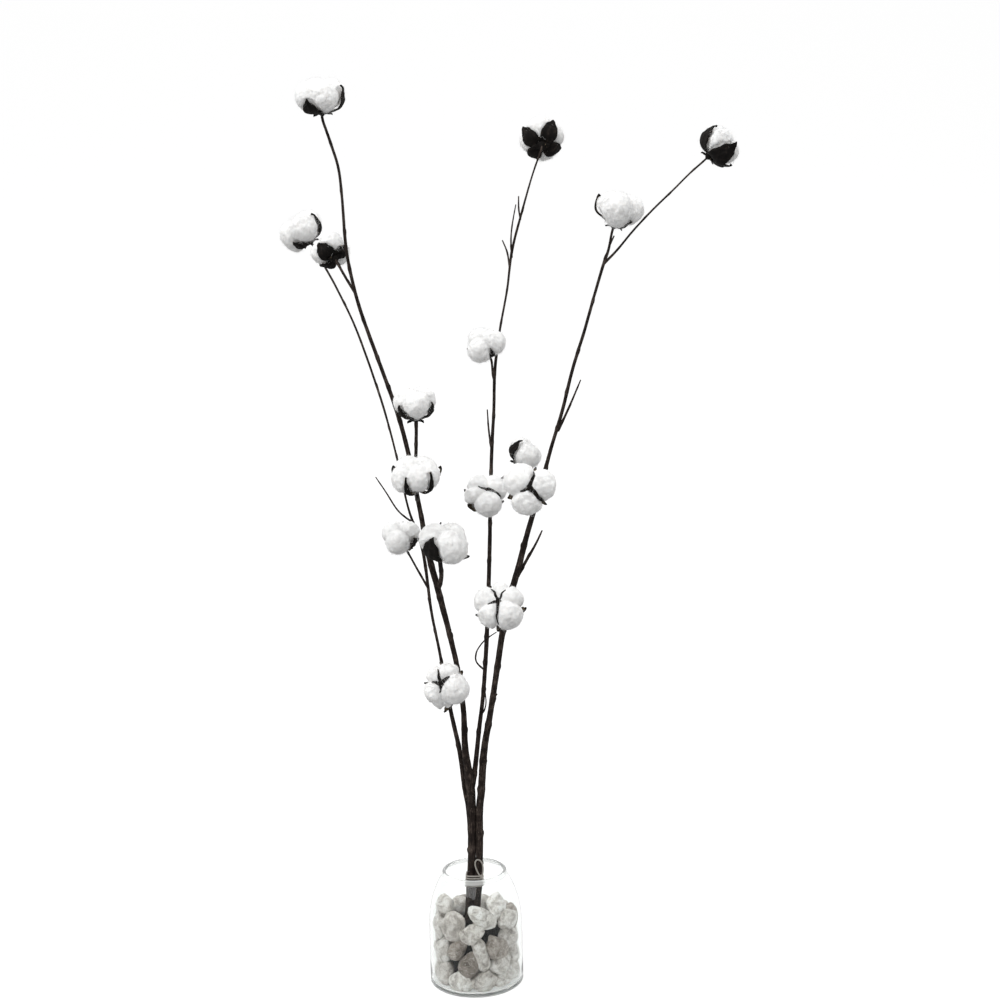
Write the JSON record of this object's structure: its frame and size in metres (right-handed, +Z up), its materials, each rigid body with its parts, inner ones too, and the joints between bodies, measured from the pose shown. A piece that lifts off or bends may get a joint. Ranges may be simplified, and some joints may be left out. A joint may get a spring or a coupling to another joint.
{
  "type": "cotton stem bunch",
  "caption": "Dried cotton stems with open white bolls, tied with twine and stood in a glass jar of pebbles.",
  "frame": {"origin": "middle of the jar's flat underside, on the surface it stands on", "axes": "+Z up along the stems; -Y towards the viewer, the side on which the twine's knot shows"},
  "size_m": [0.4413, 0.194, 0.9044],
  "materials": {
    "clear_glass": "clear polished glass",
    "dark_foam": "matt open-celled dry flower foam",
    "pale_pebble": "dry water-worn pebbles, matt",
    "dark_bark": "dry dark brown bark, matt",
    "dried_bur": "dried woody seed-case, near black",
    "white_cotton": "loose raw cotton fibre",
    "pale_twine": "dull twisted twine"
  },
  "bodies": {
    "root": {"glass_jar": "clear_glass", "foam_block": "dark_foam", "pebbles": "pale_pebble", "twine_tie": "pale_twine", "left_stem": "dark_bark", "forked_stem": "dark_bark", "right_stem": "dark_bark", "bur_01": "dried_bur", "bur_02": "dried_bur", "bur_03": "dried_bur", "bur_04": "dried_bur", "bur_05": "dried_bur", "bur_06": "dried_bur", "bur_07": "dried_bur", "bur_08": "dried_bur", "bur_09": "dried_bur", "bur_10": "dried_bur", "bur_11": "dried_bur", "bur_12": "dried_bur", "bur_13": "dried_bur", "bur_14": "dried_bur", "bur_15": "dried_bur", "bur_16": "dried_bur", "cotton_01": "white_cotton", "cotton_02": "white_cotton", "cotton_03": "white_cotton", "cotton_04": "white_cotton", "cotton_05": "white_cotton", "cotton_06": "white_cotton", "cotton_07": "white_cotton", "cotton_08": "white_cotton", "cotton_09": "white_cotton", "cotton_10": "white_cotton", "cotton_11": "white_cotton", "cotton_12": "white_cotton", "cotton_13": "white_cotton", "cotton_14": "white_cotton", "cotton_15": "white_cotton", "cotton_16": "white_cotton"}
  },
  "joints": []
}
